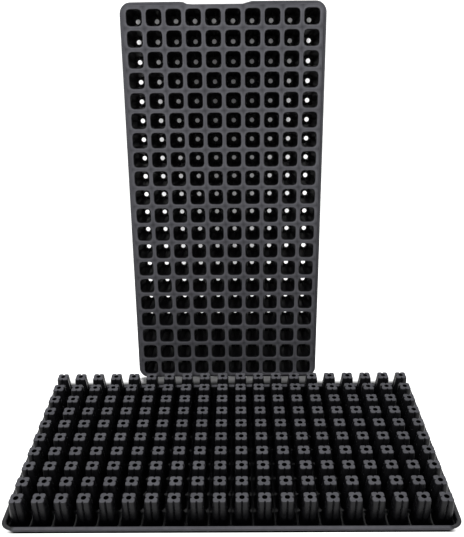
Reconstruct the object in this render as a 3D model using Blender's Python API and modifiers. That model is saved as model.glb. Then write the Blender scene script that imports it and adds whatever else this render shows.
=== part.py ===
"""Two plug trays for raising seedlings, each formed from one sheet of black polystyrene.

One tray lies upside down and rests on its deck. The other stands on its short end behind it and leans back.
Metres, +Z up. The origin is the middle of the lying tray's deck, on the surface that both trays stand on.
"""
import math

import bmesh
import bpy
from mathutils import Vector

# The grid of cells
COLUMNS = 20             # cells along the tray
ROWS = 10                # cells across the tray
PITCH = 0.0263           # from one cell's centre to the next
OPENING = 0.0203         # inside width of a cell at the deck
FLOOR = 0.0138           # inside width of a cell at its floor
HOLE = 0.0055            # width of the drain hole in a floor
TRAY_HEIGHT = 0.0400     # deck face to the underside of the floors
SHEET = 0.0006           # thickness of the formed sheet

# The rim around the grid
DECK_MARGIN = 0.0020     # deck past the outermost pitch lines
CORNER_RADIUS = 0.0100   # corners of the deck, seen from above
CORNER_STEPS = 4         # straight runs that make up a rounded corner
SKIRT_DEPTH = 0.0090     # deck face to the upper face of the lip
SKIRT_DRAFT = 0.0003     # how far the skirt leans out, so that the tray leaves its mould
LIP_WIDTH = 0.0047       # flat trim lip around the foot of the skirt
NOTCH_WIDTH = 0.0820     # stretch of each short end that has no lip, for the fingers
NOTCH_SHIFT = 0.0095     # how far that stretch lies off the middle of the end

# How the two trays are set out
LEAN = math.radians(13)  # how far the standing tray leans back
TRAY_GAP = 0.0254        # clear space between the two trays
SIDE_STEP = 0.0073       # how far the standing tray stands to the left of the lying one

DECK_LENGTH = COLUMNS * PITCH + 2 * DECK_MARGIN
DECK_WIDTH = ROWS * PITCH + 2 * DECK_MARGIN
RIM_REACH = SKIRT_DRAFT + LIP_WIDTH
LIP_BACK = SKIRT_DEPTH + SHEET

BLACK_POLYSTYRENE = (0.020, 0.020, 0.022, 1.0)


def clear_scene():
    for old in list(bpy.data.objects):
        bpy.data.objects.remove(old, do_unlink=True)


def black_polystyrene():
    material = bpy.data.materials.new("black_polystyrene")
    material.use_nodes = True
    shader = material.node_tree.nodes["Principled BSDF"]
    shader.inputs["Base Color"].default_value = BLACK_POLYSTYRENE
    shader.inputs["Roughness"].default_value = 0.42
    shader.inputs["Metallic"].default_value = 0.0
    return material


def outward(point):
    """Direction in which the rim grows at a point of the deck's outline."""
    core_x = DECK_LENGTH / 2 - CORNER_RADIUS
    core_y = DECK_WIDTH / 2 - CORNER_RADIUS
    nearest = Vector((max(-core_x, min(core_x, point.x)), max(-core_y, min(core_y, point.y)), point.z))
    return (point - nearest).normalized()


def draw_deck(bm):
    """The flat deck: a grid whose faces each give one opening, with a margin around it."""
    bmesh.ops.create_grid(bm, x_segments=COLUMNS, y_segments=ROWS, size=0.5)
    bmesh.ops.scale(bm, verts=bm.verts, vec=(COLUMNS * PITCH, ROWS * PITCH, 1))
    cells = list(bm.faces)
    bmesh.ops.inset_individual(bm, faces=cells, thickness=(PITCH - OPENING) / 2, use_even_offset=True)
    border = [vert for vert in bm.verts if vert.is_boundary]
    widen = (DECK_LENGTH / (COLUMNS * PITCH), DECK_WIDTH / (ROWS * PITCH), 1)
    bmesh.ops.scale(bm, verts=border, vec=widen)
    return cells


def round_corners(bm):
    """Trims the deck's corners with planes that touch the corner circle."""
    for side_x in (-1, 1):
        for side_y in (-1, 1):
            centre = Vector((side_x * (DECK_LENGTH / 2 - CORNER_RADIUS), side_y * (DECK_WIDTH / 2 - CORNER_RADIUS), 0))
            for step in range(1, CORNER_STEPS):
                angle = math.pi / 2 * step / CORNER_STEPS
                facing = Vector((side_x * math.cos(angle), side_y * math.sin(angle), 0))
                everything = bm.verts[:] + bm.edges[:] + bm.faces[:]
                bmesh.ops.bisect_plane(bm, geom=everything, plane_co=centre + CORNER_RADIUS * facing,
                                       plane_no=facing, clear_outer=True)


def grow_rim(bm, edges, reach, drop):
    """Pulls a new strip of sheet out of the rim and returns its free edges."""
    pulled = bmesh.ops.extrude_edge_only(bm, edges=edges)["geom"]
    for vert in (item for item in pulled if isinstance(item, bmesh.types.BMVert)):
        vert.co += reach * outward(vert.co) - Vector((0, 0, drop))
    return [item for item in pulled if isinstance(item, bmesh.types.BMEdge)]


def add_skirt_and_lip(bm):
    """Hangs the skirt on the deck's outline, and a lip on the skirt, apart from the notches in the short ends."""
    outline = [edge for edge in bm.edges if edge.is_boundary]
    grow_rim(bm, outline, SKIRT_DRAFT, SKIRT_DEPTH)
    for side_y in (-1, 1):
        ends = [face for face in bm.faces if abs(face.calc_center_median().x) > DECK_LENGTH / 2]
        touched = dict.fromkeys(item for face in ends for item in (*face.verts, *face.edges))
        bmesh.ops.bisect_plane(bm, geom=list(touched) + ends, plane_no=(0, 1, 0),
                               plane_co=(0, NOTCH_SHIFT + side_y * NOTCH_WIDTH / 2, 0))
    lipped = [edge for edge in bm.edges if edge.is_boundary and not in_notch(edge)]
    grow_rim(bm, lipped, LIP_WIDTH, 0)


def in_notch(edge):
    middle = (edge.verts[0].co + edge.verts[1].co) / 2
    return abs(middle.y - NOTCH_SHIFT) < NOTCH_WIDTH / 2 and abs(middle.x) > DECK_LENGTH / 2


def press_cells(bm, cells):
    """Draws each opening down into a tapered cell and punches the hole in its floor."""
    bmesh.ops.inset_individual(bm, faces=cells, thickness=(OPENING - FLOOR) / 2, depth=SHEET - TRAY_HEIGHT,
                               use_even_offset=True)
    bmesh.ops.inset_individual(bm, faces=cells, thickness=(FLOOR - HOLE) / 2, use_even_offset=True)
    bmesh.ops.delete(bm, geom=cells, context="FACES")


def face_up(bm):
    """Turns every face of the sheet to its upper side, which holds the soil."""
    bmesh.ops.recalc_face_normals(bm, faces=bm.faces)
    lowest = min(bm.faces, key=lambda face: face.calc_center_median().z)
    if lowest.normal.z < 0:
        bmesh.ops.reverse_faces(bm, faces=bm.faces)


def tray_sheet(material):
    """The upper side of the formed sheet, the right way up, with the deck at z = 0."""
    bm = bmesh.new()
    cells = draw_deck(bm)
    round_corners(bm)
    add_skirt_and_lip(bm)
    press_cells(bm, cells)
    face_up(bm)
    mesh = bpy.data.meshes.new("tray_sheet")
    bm.to_mesh(mesh)
    bm.free()
    mesh.materials.append(material)
    return mesh


def add_tray(name, sheet, collection):
    tray = bpy.data.objects.new(name, sheet)
    collection.objects.link(tray)
    thickness = tray.modifiers.new("sheet thickness", "SOLIDIFY")
    thickness.thickness = SHEET
    thickness.offset = -1
    thickness.solidify_mode = "NON_MANIFOLD"
    thickness.nonmanifold_thickness_mode = "CONSTRAINTS"
    return tray


def main():
    clear_scene()
    collection = bpy.data.collections.new("plug_trays")
    bpy.context.scene.collection.children.link(collection)
    sheet = tray_sheet(black_polystyrene())

    lying = add_tray("upturned_tray", sheet, collection)
    lying.rotation_euler = (math.pi, 0, 0)

    # The standing tray turns about the edge of its lip that touches the ground
    foot = bpy.data.objects.new("standing_foot", None)
    collection.objects.link(foot)
    front_of_foot = LIP_BACK * math.cos(LEAN) - RIM_REACH * math.sin(LEAN)
    foot.location = (-SIDE_STEP, DECK_WIDTH / 2 + RIM_REACH + TRAY_GAP + front_of_foot, 0)
    foot.rotation_euler = (-LEAN, 0, 0)
    standing = add_tray("standing_tray", sheet, collection)
    standing.parent = foot
    standing.location = (0, -LIP_BACK, DECK_LENGTH / 2 + RIM_REACH)
    standing.rotation_mode = "ZYX"
    standing.rotation_euler = (math.pi / 2, 0, math.pi / 2)


main()
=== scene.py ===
# %% [markdown]
# # Two plug trays in black polystyrene
#
# A plug tray is one thin sheet of plastic, softened and sucked down over a mould, so that every cell, rib
# and rim is a dent in the same sheet. This lesson makes that sheet once and sets it out twice: upside down
# in front, and on its short end behind. We load the measured solids first, because they say how big the
# trays are and where they stand, and everything below is fitted to them.

# %% Load the frame
import math

import bmesh
import bpy
from mathutils import Matrix, Vector


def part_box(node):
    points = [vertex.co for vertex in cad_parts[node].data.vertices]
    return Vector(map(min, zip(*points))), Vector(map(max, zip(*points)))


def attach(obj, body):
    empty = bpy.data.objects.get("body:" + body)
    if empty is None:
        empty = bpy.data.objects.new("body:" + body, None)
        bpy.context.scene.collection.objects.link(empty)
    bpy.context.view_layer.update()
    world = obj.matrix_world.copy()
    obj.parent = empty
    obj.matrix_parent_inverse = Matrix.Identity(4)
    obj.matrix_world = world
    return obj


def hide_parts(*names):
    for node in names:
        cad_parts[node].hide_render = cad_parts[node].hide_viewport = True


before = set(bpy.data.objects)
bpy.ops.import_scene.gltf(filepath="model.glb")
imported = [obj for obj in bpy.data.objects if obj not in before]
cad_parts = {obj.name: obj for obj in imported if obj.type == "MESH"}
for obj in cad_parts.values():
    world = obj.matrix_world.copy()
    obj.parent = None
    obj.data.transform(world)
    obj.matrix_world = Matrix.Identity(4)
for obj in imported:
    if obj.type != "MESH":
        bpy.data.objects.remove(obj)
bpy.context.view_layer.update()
tray_low, tray_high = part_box("upturned_tray")
print("the lying tray measures", [round(side * 1000, 1) for side in tray_high - tray_low], "mm")

# %% [markdown]
# ## Sizes
#
# The tray's length and height come from the frame. The sizes below are the ones that the solids don't state
# by themselves, such as the pitch of the cells. They are written in millimetres and turned to metres once.

# %% Sizes
MM = 0.001
COLUMNS = 20
ROWS = 10
PITCH = 26.3 * MM
OPENING = 20.3 * MM
FLOOR = 13.8 * MM
HOLE = 6.4 * MM
SHEET = 0.6 * MM
DECK_MARGIN = 2.0 * MM
CORNER_RADIUS = 10.0 * MM
SKIRT_DEPTH = 9.0 * MM
LEAN = math.radians(13)

TRAY_LENGTH = tray_high.x - tray_low.x
TRAY_HEIGHT = tray_high.z - tray_low.z
DECK_LENGTH = COLUMNS * PITCH + 2 * DECK_MARGIN
DECK_WIDTH = ROWS * PITCH + 2 * DECK_MARGIN
RIM_REACH = (TRAY_LENGTH - DECK_LENGTH) / 2
print("the rim reaches", round(RIM_REACH / MM, 2), "mm past the deck")

# %% [markdown]
# ## Black polystyrene, vacuum formed
#
# High-impact polystyrene is tinted through with carbon black. The side against the mould comes out matt,
# with a faint orange peel from the mould's grit, and the free side keeps a gloss. The faces that stick out,
# the deck and the cell bottoms, are painted a dull grey, partly for handling scuffs and partly as painted
# sheen for the light they catch. The rounded edges of the openings and the lip are painted lighter, as
# highlights, and the deck's crossings, the skirt and the rim's ends darker, as painted shade. The walls
# are drawn thin and stay dark, with only a faint painted light outside near the bottoms. We keep this mix
# of wear and painted light as an attribute of the mesh, and let the colour and the roughness follow it.

# %% One helper for shader and geometry nodes
def add_node(tree, kind, settings=None, links=None, **values):
    """Adds a node with its properties, its input values and the sockets that feed it."""
    made = tree.nodes.new(kind)
    for name, setting in (settings or {}).items():
        setattr(made, name, setting)
    for name, value in values.items():
        made.inputs[name.replace("_", " ")].default_value = value
    for target, source in (links or {}).items():
        tree.links.new(source, made.inputs[target])
    return made


def colour(code):
    """Turns an sRGB hex value into the linear colour that Blender works in."""
    channels = [int(code[place:place + 2], 16) / 255 for place in (1, 3, 5)]
    linear = [c / 12.92 if c <= 0.04045 else ((c + 0.055) / 1.055) ** 2.4 for c in channels]
    return (*linear, 1.0)


# %% The finish
CLEAN_BLACK = colour("#030304")
# Grey of handling scuffs, and of painted sheen where the faces catch the light.
SCUFF_AND_LIGHT_GREY = colour("#66666b")
FREE_ROUGHNESS = 0.18
MOULD_ROUGHNESS = 0.50
SCUFF_ROUGHNESS = 0.1
WORN_ROUGHNESS = 0.9
REFRACTION = 1.59
SPECULAR_LEVEL = 0.12
PEEL_SIZE = 1.6 * MM
PEEL_HEIGHT = 0.06 * MM
PEEL_STRENGTH = 0.25
SCUFF_SIZE = 9.0 * MM
SCUFF_LEAST = 0.75
CLOUD_SIZE = 60.0 * MM
CLOUD_LEAST = 0.85
NOISE_LOW = 0.3
NOISE_HIGH = 0.7


def black_polystyrene():
    material = bpy.data.materials.new("black_polystyrene_formed")
    material.use_nodes = True
    tree = material.node_tree
    shader = tree.nodes["Principled BSDF"]
    place = add_node(tree, "ShaderNodeTexCoord").outputs["Object"]
    wear_and_light = add_node(tree, "ShaderNodeAttribute", {"attribute_name": "wear_and_light"}).outputs["Fac"]
    side = add_node(tree, "ShaderNodeAttribute", {"attribute_name": "mould_side"}).outputs["Fac"]
    peel = add_node(tree, "ShaderNodeTexNoise", None, {"Vector": place}, Scale=1 / PEEL_SIZE, Detail=2.0)
    scuff = add_node(tree, "ShaderNodeTexNoise", None, {"Vector": place}, Scale=1 / SCUFF_SIZE, Detail=5.0,
                     Roughness=0.65)
    cloud = add_node(tree, "ShaderNodeTexNoise", None, {"Vector": place}, Scale=1 / CLOUD_SIZE, Detail=2.0)
    patch = add_node(tree, "ShaderNodeMapRange", None, {"Value": scuff.outputs["Fac"]},
                     From_Min=NOISE_LOW, From_Max=NOISE_HIGH, To_Min=SCUFF_LEAST, To_Max=1.0)
    drift = add_node(tree, "ShaderNodeMapRange", None, {"Value": cloud.outputs["Fac"]},
                     From_Min=NOISE_LOW, From_Max=NOISE_HIGH, To_Min=CLOUD_LEAST, To_Max=1.0)
    # The tint follows the mix of wear and painted light, broken up by scuff patches and a slow drift.
    wear_and_light_mix = add_node(tree, "ShaderNodeMath", {"operation": "MULTIPLY"}, {0: wear_and_light, 1: patch.outputs["Result"]})
    wear_and_light_mix = add_node(tree, "ShaderNodeMath", {"operation": "MULTIPLY"},
                    {0: wear_and_light_mix.outputs[0], 1: drift.outputs["Result"]})
    tint = add_node(tree, "ShaderNodeMix", {"data_type": "RGBA"}, {"Factor": wear_and_light_mix.outputs[0]})
    tint.inputs["A"].default_value = CLEAN_BLACK
    tint.inputs["B"].default_value = SCUFF_AND_LIGHT_GREY
    base = add_node(tree, "ShaderNodeMapRange", None, {"Value": side},
                    To_Min=FREE_ROUGHNESS, To_Max=MOULD_ROUGHNESS)
    rough = add_node(tree, "ShaderNodeMath", {"operation": "MULTIPLY_ADD"},
                     {0: scuff.outputs["Fac"], 2: base.outputs["Result"]})
    rough.inputs[1].default_value = SCUFF_ROUGHNESS
    rough = add_node(tree, "ShaderNodeMath", {"operation": "MULTIPLY_ADD", "use_clamp": True},
                     {0: wear_and_light, 2: rough.outputs[0]})
    rough.inputs[1].default_value = WORN_ROUGHNESS
    bump = add_node(tree, "ShaderNodeBump", None, {"Height": peel.outputs["Fac"]},
                    Strength=PEEL_STRENGTH, Distance=PEEL_HEIGHT)
    tree.links.new(tint.outputs["Result"], shader.inputs["Base Color"])
    tree.links.new(rough.outputs[0], shader.inputs["Roughness"])
    tree.links.new(bump.outputs["Normal"], shader.inputs["Normal"])
    shader.inputs["IOR"].default_value = REFRACTION
    shader.inputs["Specular IOR Level"].default_value = SPECULAR_LEVEL
    return material


polystyrene = black_polystyrene()
print("finish:", polystyrene.name)

# %% [markdown]
# ## One cell
#
# A cell is a square cup with rounded corners. A rib runs down the middle of each wall to steer the roots,
# so from outside each wall has a groove and the bottom has four lobes. We draw the cup as a stack of rings
# with the same number of points, and join each ring to the next. A ring close to each bend keeps the bend's
# soft shading off the flat of the wall. The outermost ring is the pitch square, so that copies of the cell
# meet point to point. Where four cells meet, a small dark diamond of painted shade is put on the deck.

# %% Rings of one cell
RIB_HALF = 1.6 * MM
RIB_DEPTH = 2.0 * MM
CORNER_OPENING = 4.6 * MM
CORNER_FLOOR = 1.8 * MM
CROSSING_HALF = 4.6 * MM
# Where four cells meet, the deck is painted darker, as shade.
CROSSING_SHADE = 0.3
# The deck's grey is partly scuffs and partly painted sheen. It is painted lighter on the rounded edge of
# each opening as a highlight, and falls off into the bevel.
EDGE_HIGHLIGHT_AND_WEAR = 0.74
STRIP_WEAR_AND_LIGHT = 0.56
BEVEL_WEAR_AND_LIGHT = 0.1
# The bottoms' grey is partly scuffs and partly painted light, and the legs get a faint painted light near
# the bottoms.
BOTTOM_WEAR_AND_LIGHT = 0.9
LEG_PAINTED_LIGHT = 0.08
WELD = 0.01 * MM
EDGE_ROUND = 0.8 * MM
FLOOR_ROUND = 0.5 * MM


def quarter_turns(quarter):
    return [Matrix.Rotation(math.pi / 2 * turn, 3, "Z") @ point for turn in range(4) for point in quarter]


def pitch_square():
    half = PITCH / 2
    near = half - CROSSING_HALF
    return quarter_turns([Vector((half, -RIB_HALF, 0)), Vector((half, 0, 0)), Vector((half, RIB_HALF, 0)),
                          Vector((half, near, 0)), Vector((half, half, 0)), Vector((near, half, 0))])


def cell_ring(width, corner, depth, rib=0.0):
    """A square with rounded corners, its sides pulled in by rib at the middle."""
    half = width / 2
    cut = corner * (1 - math.sqrt(0.5))
    return quarter_turns([Vector((half, -RIB_HALF, -depth)), Vector((half - rib, 0, -depth)),
                          Vector((half, RIB_HALF, -depth)), Vector((half, half - corner, -depth)),
                          Vector((half - cut, half - cut, -depth)), Vector((half - corner, half, -depth))])


def wall_ring(share, depth, rib_share):
    """A ring part of the way from the opening, share 0, to the floor, share 1."""
    width = OPENING + (FLOOR - OPENING) * share
    corner = CORNER_OPENING + (CORNER_FLOOR - CORNER_OPENING) * share
    return cell_ring(width, corner, depth, RIB_DEPTH * rib_share)


def hole_ring(depth):
    around = [math.atan2(point.y, point.x) for point in cell_ring(FLOOR, CORNER_FLOOR, 0)]
    return [Vector((HOLE / 2 * math.cos(a), HOLE / 2 * math.sin(a), -depth)) for a in around]


# Each ring has its grey, partly wear and partly painted light, on the side that holds the soil, and on the
# side below.
cell_depth = TRAY_HEIGHT - SHEET
rings = [
    (pitch_square(), STRIP_WEAR_AND_LIGHT, 0.0),
    (cell_ring(OPENING + 2 * EDGE_ROUND, CORNER_OPENING + EDGE_ROUND, 0), EDGE_HIGHLIGHT_AND_WEAR, 0.0),
    (cell_ring(OPENING + 0.5 * EDGE_ROUND, CORNER_OPENING, 0.5 * EDGE_ROUND), BEVEL_WEAR_AND_LIGHT, 0.0),
    (wall_ring(0.03, 2 * EDGE_ROUND, 0), 0.0, 0.0),
    (wall_ring(0.07, 0.07 * cell_depth, 0.1), 0.0, 0.0),
    (wall_ring(0.35, 0.35 * cell_depth, 0.9), 0.0, 0.0),
    (wall_ring(0.96, 0.96 * cell_depth, 1.0), 0.0, LEG_PAINTED_LIGHT),
    (wall_ring(1.00, cell_depth - FLOOR_ROUND, 1.0), 0.0, LEG_PAINTED_LIGHT),
    (cell_ring(FLOOR - FLOOR_ROUND, CORNER_FLOOR, cell_depth, RIB_DEPTH), 0.0, BOTTOM_WEAR_AND_LIGHT),
    (hole_ring(cell_depth), 0.0, BOTTOM_WEAR_AND_LIGHT),
]


def cell_object():
    bm = bmesh.new()
    upper_wear_and_light = bm.verts.layers.float.new("upper_wear_and_light")
    under_wear_and_light = bm.verts.layers.float.new("under_wear_and_light")
    rows = []
    for points, upper, under in rings:
        row = [bm.verts.new(point) for point in points]
        for vert in row:
            vert[upper_wear_and_light] = upper
            vert[under_wear_and_light] = under
        rows.append(row)
    # Paints shade on the deck where four cells meet.
    for vert in rows[0]:
        if abs(abs(vert.co.x) - abs(vert.co.y)) < WELD:
            vert[upper_wear_and_light] = CROSSING_SHADE
    for outer, inner in zip(rows, rows[1:]):
        for place in range(len(outer)):
            after = (place + 1) % len(outer)
            bm.faces.new((outer[place], outer[after], inner[after], inner[place]))
    mesh = bpy.data.meshes.new("one_cell")
    bm.to_mesh(mesh)
    bm.free()
    made = bpy.data.objects.new("one_cell", mesh)
    bpy.context.scene.collection.objects.link(made)
    return made


one_cell = cell_object()
print("one cell has", len(one_cell.data.polygons), "faces")

# %% [markdown]
# ## The grid of cells
#
# Ten rows of twenty cells follow a rule, so Geometry Nodes set them out: a grid of points, one cell on each
# point, and a merge that welds the shared edges. The count and the pitch are inputs of the tree, so a tray
# with fewer, wider cells needs only other numbers.

# %% Set the cells out with Geometry Nodes
def cell_grid_tree():
    tree = bpy.data.node_groups.new("cell_grid", "GeometryNodeTree")
    tree.interface.new_socket("Cell", in_out="INPUT", socket_type="NodeSocketGeometry")
    for name, kind in (("Columns", "NodeSocketInt"), ("Rows", "NodeSocketInt"), ("Pitch", "NodeSocketFloat"),
                       ("Finish", "NodeSocketMaterial")):
        tree.interface.new_socket(name, in_out="INPUT", socket_type=kind)
    tree.interface.new_socket("Sheet", in_out="OUTPUT", socket_type="NodeSocketGeometry")
    given = tree.nodes.new("NodeGroupInput").outputs
    spans = []
    for count in ("Columns", "Rows"):
        gaps = add_node(tree, "ShaderNodeMath", {"operation": "SUBTRACT"}, {0: given[count]})
        gaps.inputs[1].default_value = 1
        span = add_node(tree, "ShaderNodeMath", {"operation": "MULTIPLY"},
                        {0: gaps.outputs[0], 1: given["Pitch"]})
        spans.append(span.outputs[0])
    points = add_node(tree, "GeometryNodeMeshGrid", None, {"Size X": spans[0], "Size Y": spans[1],
                                                           "Vertices X": given["Columns"],
                                                           "Vertices Y": given["Rows"]})
    copies = add_node(tree, "GeometryNodeInstanceOnPoints", None,
                      {"Points": points.outputs["Mesh"], "Instance": given["Cell"]})
    real = add_node(tree, "GeometryNodeRealizeInstances", None, {"Geometry": copies.outputs["Instances"]})
    welded = add_node(tree, "GeometryNodeMergeByDistance", None, {"Geometry": real.outputs["Geometry"]},
                      Distance=WELD)
    finished = add_node(tree, "GeometryNodeSetMaterial", None,
                        {"Geometry": welded.outputs["Geometry"], "Material": given["Finish"]})
    add_node(tree, "NodeGroupOutput", None, {"Sheet": finished.outputs["Geometry"]})
    return tree


def evaluated_mesh(made):
    depsgraph = bpy.context.evaluated_depsgraph_get()
    return bpy.data.meshes.new_from_object(made.evaluated_get(depsgraph))


grid = one_cell.modifiers.new("cell grid", "NODES")
grid.node_group = cell_grid_tree()
sockets = grid.node_group.interface.items_tree
inputs = {item.name: item.identifier for item in sockets if item.in_out == "INPUT"}
for name, value in (("Columns", COLUMNS), ("Rows", ROWS), ("Pitch", PITCH), ("Finish", polystyrene)):
    grid[inputs[name]] = value
sheet = evaluated_mesh(one_cell)
bpy.data.objects.remove(one_cell)
print("the grid has", len(sheet.polygons), "faces")

# %% [markdown]
# ## The rim
#
# Around the grid the deck runs on a little, bends over a soft shoulder into the skirt, and ends in a lip
# where the tray was trimmed from its sheet. Each strip is pulled from the edge of the one before it, moving
# outwards and down by small steps. The corners are trimmed round first.

# %% Pull the rim out of the sheet's edge
CORNER_STEPS = 8
SHOULDER = 0.9 * MM
SHOULDER_STEPS = 3
SKIRT_DRAFT = 0.3 * MM
LIP_ROLL = 0.5 * MM
LIP_FILLET = 0.6 * MM
LIP_STEPS = 2
# The rim's grey is partly wear and partly painted light: the lip's under side is painted light as a
# highlight, and the skirt is painted darker as shade.
SHOULDER_WEAR_AND_LIGHT = (0.66, 0.0)
SKIRT_WEAR_AND_SHADE = (0.2, 0.05)
LIP_WEAR_AND_HIGHLIGHT = (0.58, 0.95)
END_SHADE = 0.1


def outward(point):
    """Direction in which the rim grows at a point of the deck's outline."""
    core_x = DECK_LENGTH / 2 - CORNER_RADIUS
    core_y = DECK_WIDTH / 2 - CORNER_RADIUS
    nearest = Vector((max(-core_x, min(core_x, point.x)), max(-core_y, min(core_y, point.y)), point.z))
    return (point - nearest).normalized()


def widen_border(bm):
    """Runs the flat deck on past the outermost pitch lines, to where the shoulder starts."""
    border = [vert for vert in bm.verts if vert.is_boundary and vert.co.z > -SKIRT_DEPTH]
    for vert in border:
        vert.co.x *= (DECK_LENGTH - 2 * SHOULDER) / (COLUMNS * PITCH)
        vert.co.y *= (DECK_WIDTH - 2 * SHOULDER) / (ROWS * PITCH)


def round_corners(bm):
    """Trims the corners of the flat deck with planes that touch the corner circle."""
    radius = CORNER_RADIUS - SHOULDER
    for side_x in (-1, 1):
        for side_y in (-1, 1):
            centre = Vector((side_x * (DECK_LENGTH / 2 - CORNER_RADIUS),
                             side_y * (DECK_WIDTH / 2 - CORNER_RADIUS), 0))
            for step in range(1, CORNER_STEPS):
                angle = math.pi / 2 * step / CORNER_STEPS
                facing = Vector((side_x * math.cos(angle), side_y * math.sin(angle), 0))
                deck = [face for face in bm.faces if (face.calc_center_median() - centre).length < PITCH]
                near = dict.fromkeys(item for face in deck for item in (*face.verts, *face.edges))
                bmesh.ops.bisect_plane(bm, geom=list(near) + deck, plane_co=centre + radius * facing,
                                       plane_no=facing, clear_outer=True)


def pull(bm, edges, reach, drop, wear_and_light):
    """Pulls one strip out of the rim, with its wear and painted light above and below; returns its free
    edges.
    """
    layers = bm.verts.layers.float
    pulled = bmesh.ops.extrude_edge_only(bm, edges=edges)["geom"]
    for vert in (item for item in pulled if isinstance(item, bmesh.types.BMVert)):
        vert.co += reach * outward(vert.co) - Vector((0, 0, drop))
        # At the tray's ends the under side is painted darker, as shade.
        at_end = abs(vert.co.x) > DECK_LENGTH / 2 - CORNER_RADIUS
        vert[layers["upper_wear_and_light"]] = wear_and_light[0]
        vert[layers["under_wear_and_light"]] = min(wear_and_light[1], END_SHADE) if at_end else wear_and_light[1]
    return [item for item in pulled if isinstance(item, bmesh.types.BMEdge)]


def bend(bm, edges, radius, steps, first, last, wear_and_light):
    """Pulls strips round an arc between two slopes; slope 0 is level and 90 degrees hangs straight down."""
    for step in range(steps):
        here = first + (last - first) * step / steps
        there = first + (last - first) * (step + 1) / steps
        reach = abs(math.sin(there) - math.sin(here)) * radius
        drop = abs(math.cos(here) - math.cos(there)) * radius
        edges = pull(bm, edges, reach, drop, wear_and_light)
    return edges


def add_rim(bm):
    widen_border(bm)
    round_corners(bm)
    edges = [edge for edge in bm.edges if edge.is_boundary and edge.verts[0].co.z > -SKIRT_DEPTH]
    upright = math.pi / 2
    edges = bend(bm, edges, SHOULDER, SHOULDER_STEPS, 0, upright, SHOULDER_WEAR_AND_LIGHT)
    edges = pull(bm, edges, SKIRT_DRAFT, SKIRT_DEPTH - SHOULDER - LIP_FILLET - LIP_ROLL, SKIRT_WEAR_AND_SHADE)
    edges = bend(bm, edges, LIP_FILLET, LIP_STEPS, upright, 0, LIP_WEAR_AND_HIGHLIGHT)
    edges = pull(bm, edges, RIM_REACH - SKIRT_DRAFT - LIP_FILLET - LIP_ROLL, 0, LIP_WEAR_AND_HIGHLIGHT)
    bend(bm, edges, LIP_ROLL, LIP_STEPS, 0, upright, LIP_WEAR_AND_HIGHLIGHT)


def face_up(bm):
    """Turns every face of the sheet to its upper side, which holds the soil."""
    bmesh.ops.recalc_face_normals(bm, faces=bm.faces)
    lowest = min(bm.faces, key=lambda face: face.calc_center_median().z)
    if lowest.normal.z < 0:
        bmesh.ops.reverse_faces(bm, faces=bm.faces)


bm = bmesh.new()
bm.from_mesh(sheet)
add_rim(bm)
face_up(bm)
bm.to_mesh(sheet)
bm.free()
print("the sheet has", len(sheet.polygons), "faces")

# %% [markdown]
# ## The sheet's thickness, and two trays from it
#
# Solidify gives the sheet its thickness, away from the side that holds the soil. The same sheet then
# becomes both trays. A matrix sets each one down: half a turn puts the first on its deck, and a quarter
# turn and a lean put the other on its short end. The place is worked into the mesh, so each object itself
# stays at the origin. Each piece stands for the solid of the same tray and moves with its body. The
# standing tray has almost no lip on a stretch of its upper end, a little off the middle, so there we push
# the lip's edge back towards the skirt.

# %% Give the sheet its thickness
SHARP_ANGLE = math.radians(48)

solid = bpy.data.objects.new("solid_sheet", sheet)
bpy.context.scene.collection.objects.link(solid)
thickness = solid.modifiers.new("sheet thickness", "SOLIDIFY")
thickness.thickness = SHEET
thickness.offset = -1
formed = evaluated_mesh(solid)
bpy.data.objects.remove(solid)


def mark_sides(mesh, count):
    """Joins the two attributes of wear and painted light, and marks the mould's side, where the first count
    points lie.
    """
    upper = [item.value for item in mesh.attributes["upper_wear_and_light"].data]
    under = [item.value for item in mesh.attributes["under_wear_and_light"].data]
    wear_and_light = mesh.attributes.new("wear_and_light", "FLOAT", "POINT")
    wear_and_light.data.foreach_set("value", upper[:count] + under[count:])
    for name in ("upper_wear_and_light", "under_wear_and_light"):
        mesh.attributes.remove(mesh.attributes[name])
    mould = mesh.attributes.new("mould_side", "FLOAT", "POINT")
    mould.data.foreach_set("value", [1.0] * count + [0.0] * (len(mesh.vertices) - count))


mark_sides(formed, len(sheet.vertices))
first_moved = (formed.vertices[0].co - sheet.vertices[0].co).length
print("the first point lies", round(first_moved / MM, 3), "mm from the upper side")
formed.shade_smooth()
formed.set_sharp_from_angle(angle=SHARP_ANGLE)
print("the formed tray has", sum(len(face.vertices) - 2 for face in formed.polygons), "triangles")

# %% The notch in the standing tray's lip
NOTCH_WIDTH = 82.0 * MM
NOTCH_SHIFT = 9.5 * MM
NOTCH_FADE = 9.0 * MM
NOTCH_CUT = 3.2 * MM


def trim_notch(mesh):
    """Pushes the edge of the lip in along the notch, fading to nothing at both of its sides."""
    for vert in mesh.vertices:
        if vert.co.x > DECK_LENGTH / 2 + RIM_REACH / 2:
            inside = (NOTCH_WIDTH / 2 - abs(vert.co.y - NOTCH_SHIFT)) / NOTCH_FADE + 0.5
            inside = max(0.0, min(1.0, inside))
            vert.co.x -= NOTCH_CUT * inside * inside * (3 - 2 * inside)


# %% Set the two trays down
LIP_BACK = SKIRT_DEPTH + SHEET
stand_low, stand_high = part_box("standing_tray")
foot_y = stand_low.y + LIP_BACK * math.cos(LEAN) - RIM_REACH * math.sin(LEAN)
foot = Vector(((stand_low.x + stand_high.x) / 2, foot_y, stand_low.z))
on_deck = Matrix.Translation((0, 0, tray_low.z)) @ Matrix.Rotation(math.pi, 4, "X")
on_end = (Matrix.Translation(foot) @ Matrix.Rotation(-LEAN, 4, "X")
          @ Matrix.Translation((0, -LIP_BACK, TRAY_LENGTH / 2))
          @ Matrix.Rotation(math.pi / 2, 4, "X") @ Matrix.Rotation(math.pi / 2, 4, "Z"))

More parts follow.
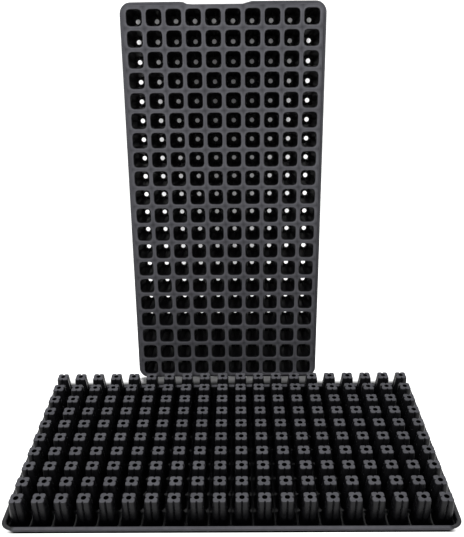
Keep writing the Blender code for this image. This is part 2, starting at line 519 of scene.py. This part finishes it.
trays = {}
for node, placed in (("upturned_tray", on_deck), ("standing_tray", on_end)):
    mesh = formed.copy()
    if node == "standing_tray":
        trim_notch(mesh)
    mesh.transform(placed)
    mesh.name = "formed_" + node
    tray = bpy.data.objects.new("formed_" + node, mesh)
    bpy.context.scene.collection.objects.link(tray)
    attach(tray, node)
    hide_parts(node)
    trays[node] = tray
    print(tray.name, "spans", [round(side / MM, 1) for side in tray.dimensions], "mm")

# %% [markdown]
# ## Paper and light
#
# The trays stand on white paper, with a wall of the same paper behind. The standing tray leans almost
# against the wall, so what its drain holes show is paper in the tray's own shade: dark high up in the
# middle, and lighter towards the sides, where more light gets in behind. The paper is drawn on its front
# only, so from behind one looks through it. No lamp throws the lying tray's shadow, so a black sheet lies
# under it instead, which fades out a little past its far lip. The front row of cells mirrors the floor in
# front of it. Close to the tray that floor would be in shade too, so a black strip lies there as a painted
# shadow, which only reflections see.
#
# Each lamp lights either the trays or the paper, through light linking, so that the paper can be white
# while the trays stay black. One sun lights the floor from behind, a faint one lights it from in front, two
# light the wall from the sides, and only the standing tray shades them. One softbox, above and a little in
# front, lights the trays. The floor throws light back on them too, but the lying tray covers the floor at
# the foot of the standing one, so the standing deck gets darker towards its foot.

# %% White paper
PAPER_WHITE = colour("#f2f2f2")
# Black for sheets painted as shadows on the floor.
SHADOW_BLACK = colour("#0a0a0a")
PAPER_HALF = 12.0
PAPER_HEIGHT = 8.0
PAPER_GAP = 1.0 * MM
PAPER_DROP = 0.2 * MM
SHADE_LIFT = 0.1 * MM
SHADE_FRONT = 2.0 * MM
SHADE_BEHIND = 27.0 * MM
SHADE_FADE = 16.0 * MM
MIRRORED_FRONT = 22.0 * MM


def studio_paper(name, tone):
    material = bpy.data.materials.new(name)
    material.use_nodes = True
    tree = material.node_tree
    shader = tree.nodes["Principled BSDF"]
    shader.inputs["Base Color"].default_value = tone
    shader.inputs["Roughness"].default_value = 1.0
    shader.inputs["Specular IOR Level"].default_value = 0.0
    behind = add_node(tree, "ShaderNodeNewGeometry").outputs["Backfacing"]
    unseen = add_node(tree, "ShaderNodeBsdfTransparent")
    mixed = add_node(tree, "ShaderNodeMixShader", None,
                     {0: behind, 1: shader.outputs[0], 2: unseen.outputs[0]})
    tree.links.new(mixed.outputs[0], tree.nodes["Material Output"].inputs["Surface"])
    return material


def fade_out(material, half_length, back):
    """Lets a paper fade to nothing towards its two ends and its back edge."""
    tree = material.node_tree
    place = add_node(tree, "ShaderNodeTexCoord").outputs["Object"]
    axes = add_node(tree, "ShaderNodeSeparateXYZ", None, {"Vector": place}).outputs
    across = add_node(tree, "ShaderNodeMath", {"operation": "ABSOLUTE"}, {0: axes["X"]}).outputs[0]
    mix = tree.nodes["Mix Shader"]
    for distance, edge in ((across, half_length), (axes["Y"], back)):
        clear = add_node(tree, "ShaderNodeMapRange", {"interpolation_type": "SMOOTHSTEP"},
                         {"Value": distance}, From_Min=edge - SHADE_FADE, From_Max=edge)
        more = add_node(tree, "ShaderNodeMath", {"operation": "MAXIMUM"},
                        {0: mix.inputs[0].links[0].from_socket, 1: clear.outputs["Result"]})
        tree.links.new(more.outputs[0], mix.inputs[0])


def add_paper(name, corners, material, bounces=False):
    """A flat sheet of paper on the stage, which may throw light back on the trays."""
    mesh = bpy.data.meshes.new(name)
    mesh.from_pydata(corners, [], [(0, 1, 2, 3)])
    mesh.materials.append(material)
    made = bpy.data.objects.new(name, mesh)
    made.visible_diffuse = bounces
    bpy.context.scene.collection.objects.link(made)
    return made


def level_sheet(right, front, back, height):
    return [(-right, front, height), (right, front, height), (right, back, height), (-right, back, height)]


white_paper = studio_paper("white_paper", PAPER_WHITE)
shadow_paper = studio_paper("shadow_paper", SHADOW_BLACK)
low = tray_low.z - PAPER_DROP
back = stand_high.y + PAPER_GAP
floor = add_paper("paper_floor", level_sheet(PAPER_HALF, -PAPER_HALF, back, low), white_paper, bounces=True)
wall_corners = [(-PAPER_HALF, back, low), (PAPER_HALF, back, low),
                (PAPER_HALF, back, PAPER_HEIGHT), (-PAPER_HALF, back, PAPER_HEIGHT)]
wall = add_paper("paper_wall", wall_corners, white_paper)
# A black sheet painted as the lying tray's shadow, fading out at its ends and past its far lip.
shade_back = tray_high.y + SHADE_BEHIND
shade_corners = level_sheet(TRAY_LENGTH / 2, -DECK_WIDTH / 2 - SHADE_FRONT, shade_back, low + SHADE_LIFT)
soft_shade = studio_paper("soft_shade", SHADOW_BLACK)
fade_out(soft_shade, TRAY_LENGTH / 2, shade_back)
add_paper("paper_shade", shade_corners, soft_shade)
# A black strip painted as the shadow on the floor in front, which only reflections see.
strip_corners = level_sheet(TRAY_LENGTH / 2, tray_low.y - MIRRORED_FRONT, tray_low.y, low + SHADE_LIFT)
mirrored_shadow_strip = add_paper("mirrored_shadow_strip", strip_corners, shadow_paper)
mirrored_shadow_strip.visible_camera = False

# %% Sky and lamps
SKY_STRENGTH = 0.08
SOFTBOX_PLACE = (-0.2, -0.5, 1.6)
SOFTBOX_AIM = (0, 0.1, 0.15)
SOFTBOX_POWER = 30
SOFTBOX_WIDTH = 1.0


def white_sky():
    """A sky that shows white to the camera and in reflections, and lights the trays only faintly."""
    world = bpy.data.worlds.new("studio_sky")
    bpy.context.scene.world = world
    world.use_nodes = True
    tree = world.node_tree
    path = add_node(tree, "ShaderNodeLightPath").outputs
    seen = add_node(tree, "ShaderNodeMath", {"operation": "MAXIMUM"},
                    {0: path["Is Camera Ray"], 1: path["Is Glossy Ray"]})
    seen = add_node(tree, "ShaderNodeMath", {"operation": "MAXIMUM"},
                    {0: seen.outputs[0], 1: path["Is Transmission Ray"]})
    level = add_node(tree, "ShaderNodeMapRange", None, {"Value": seen.outputs[0]},
                     To_Min=SKY_STRENGTH, To_Max=1.0)
    sky = tree.nodes["Background"]
    sky.inputs["Color"].default_value = (1, 1, 1, 1)
    tree.links.new(level.outputs["Result"], sky.inputs["Strength"])


def add_lamp(name, kind, place, aim, power):
    lamp = bpy.data.objects.new(name, bpy.data.lights.new(name, kind))
    lamp.location = place
    lamp.rotation_euler = (Vector(aim) - Vector(place)).to_track_quat("-Z", "Y").to_euler()
    lamp.data.energy = power
    bpy.context.scene.collection.objects.link(lamp)
    return lamp


def group_of(name, *members):
    """A collection that a lamp can be linked to."""
    group = bpy.data.collections.new(name)
    for member in members:
        group.objects.link(member)
    return group


white_sky()
lit_trays = group_of("lit_trays", *trays.values())
shading_tray = group_of("shading_tray", trays["standing_tray"])
softbox = add_lamp("softbox", "AREA", SOFTBOX_PLACE, SOFTBOX_AIM, SOFTBOX_POWER)
softbox.data.shape = "DISK"
softbox.data.size = SOFTBOX_WIDTH
softbox.visible_glossy = False
softbox.light_linking.receiver_collection = lit_trays

for name, place, spread, power, paper in (("floor_sun", (0, 1.5, 3), 25, 6, floor),
                                          ("front_sun", (0, -1, 1), 10, 0.6, floor),
                                          ("left_wall_sun", (-0.75, -1, 0.3), 60, 3.8, wall),
                                          ("right_wall_sun", (0.75, -1, 0.3), 60, 3.8, wall)):
    sun = add_lamp(name, "SUN", place, (0, 0, 0), power)
    sun.data.angle = math.radians(spread)
    sun.light_linking.receiver_collection = group_of("lit_by_" + name, paper)
    sun.light_linking.blocker_collection = shading_tray

# %% [markdown]
# ## The camera
#
# The viewpoint was worked out from the two grids of cells, whose squares and drain holes fix it well. It
# stands about 0.65 m in front and 0.6 m up, and looks 30 degrees down. The photograph's frame is a little
# off the lens's axis, so the camera has a small vertical shift.

# %% Camera
IMAGE_HEIGHT = 537
FOCAL_PIXELS = 635.5
AXIS_BELOW_MIDDLE = 43.4
VIEWPOINT = Vector((9.2, -644.5, 598.3)) * MM
LOOK_DOWN = math.radians(30.45)
LOOK_LEFT = math.radians(0.56)
ROLL = math.radians(-0.67)

camera = bpy.data.cameras.new("camera")
camera.sensor_width = 36
camera.lens = FOCAL_PIXELS / IMAGE_HEIGHT * camera.sensor_width
camera.shift_y = AXIS_BELOW_MIDDLE / IMAGE_HEIGHT
viewer = bpy.data.objects.new("camera", camera)
bpy.context.scene.collection.objects.link(viewer)
turned = (Matrix.Rotation(LOOK_LEFT, 4, "Z") @ Matrix.Rotation(math.pi / 2 - LOOK_DOWN, 4, "X")
          @ Matrix.Rotation(ROLL, 4, "Z"))
viewer.matrix_world = Matrix.Translation(VIEWPOINT) @ turned
bpy.context.scene.camera = viewer
bpy.context.scene.view_settings.view_transform = "Standard"
